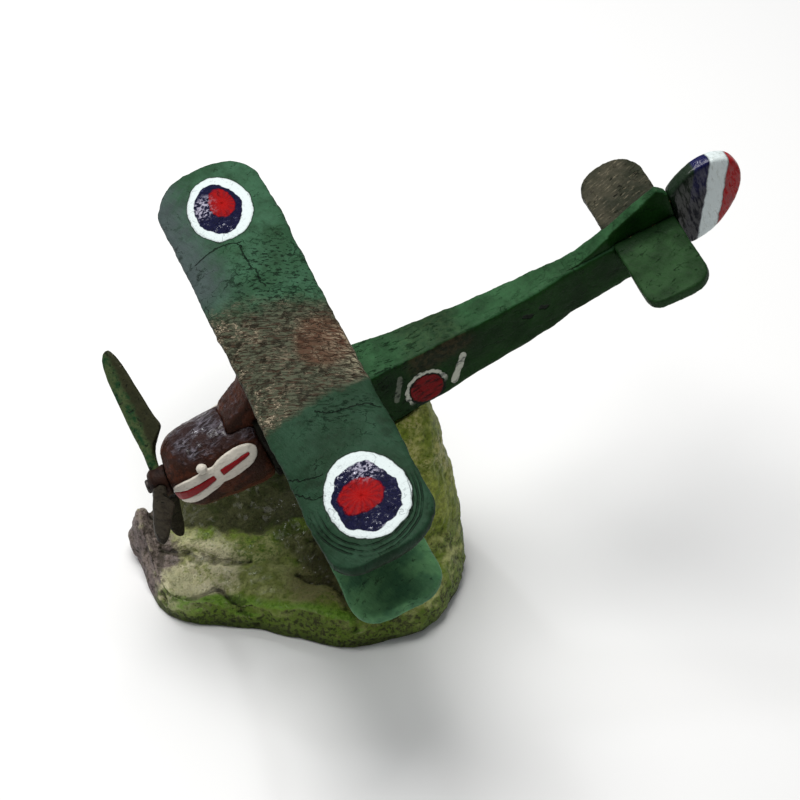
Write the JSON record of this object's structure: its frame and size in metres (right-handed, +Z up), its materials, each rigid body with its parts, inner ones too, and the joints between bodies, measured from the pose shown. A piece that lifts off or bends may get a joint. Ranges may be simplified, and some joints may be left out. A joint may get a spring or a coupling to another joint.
{
  "type": "biplane scale model",
  "caption": "Carved and painted wooden biplane ornament with a spinning propeller, nose down on a moulded rock base.",
  "frame": {"origin": "middle of the rock's flat underside, on the table", "axes": "+Z up, -X towards the nose, +X towards the tail, -Y the port side, +Y the starboard side"},
  "size_m": [0.3232, 0.3062, 0.221],
  "materials": {
    "rock": "rough painted cast rock, matt",
    "bare_wood": "bare birch dowel",
    "wing_paint": "hand-painted wood, satin varnish",
    "lower_wing_paint": "hand-painted wood, satin varnish",
    "fuselage_paint": "hand-painted wood, satin varnish",
    "nose_paint": "hand-painted wood, satin varnish",
    "tail_paint": "hand-painted wood, satin varnish",
    "tail_brown_paint": "hand-painted wood, satin varnish",
    "rudder_paint": "hand-painted wood, satin varnish",
    "strut_paint": "hand-painted wood, satin varnish",
    "hub_paint": "hand-painted wood, satin varnish",
    "blade_paint": "hand-painted wood, satin varnish",
    "steel": "dull steel",
    "white_paint": "moulded filler with white paint",
    "red_paint": "moulded filler with red paint"
  },
  "bodies": {
    "airframe": {"rock_base": "rock", "mount_dowel_front": "bare_wood", "mount_dowel_rear": "bare_wood", "fuselage": "fuselage_paint", "nose_cowl": "nose_paint", "cowl_dowel": "bare_wood", "cabane_fairing": "nose_paint", "fairing_dowels": "bare_wood", "upper_wing": "wing_paint", "lower_wing_port": "lower_wing_paint", "lower_wing_starboard": "lower_wing_paint", "lower_wing_dowels": "bare_wood", "strut_port_front": "strut_paint", "strut_port_rear": "strut_paint", "strut_starboard_front": "strut_paint", "strut_starboard_rear": "strut_paint", "tailplane_port": "tail_paint", "tailplane_starboard": "tail_brown_paint", "tailplane_dowels": "bare_wood", "fin": "fuselage_paint", "fin_dowel": "bare_wood", "rudder": "rudder_paint", "rudder_dowels": "bare_wood", "prop_nail": "steel", "prop_washer": "steel", "flash_port_white": "white_paint", "flash_port_red": "red_paint", "flash_port_bead": "white_paint", "flash_starboard_white": "white_paint", "flash_starboard_red": "red_paint"},
    "propeller": {"prop_hub": "hub_paint", "prop_blade_top": "blade_paint", "prop_blade_port": "blade_paint", "prop_blade_low": "blade_paint"}
  },
  "joints": [
    {"name": "propeller_spin", "type": "hinge", "parent": "airframe", "child": "propeller", "pos_m": [-0.0731, 0, 0.08793], "axis": [0.9567, -0.0871, 0.2778], "continuous": true}
  ]
}
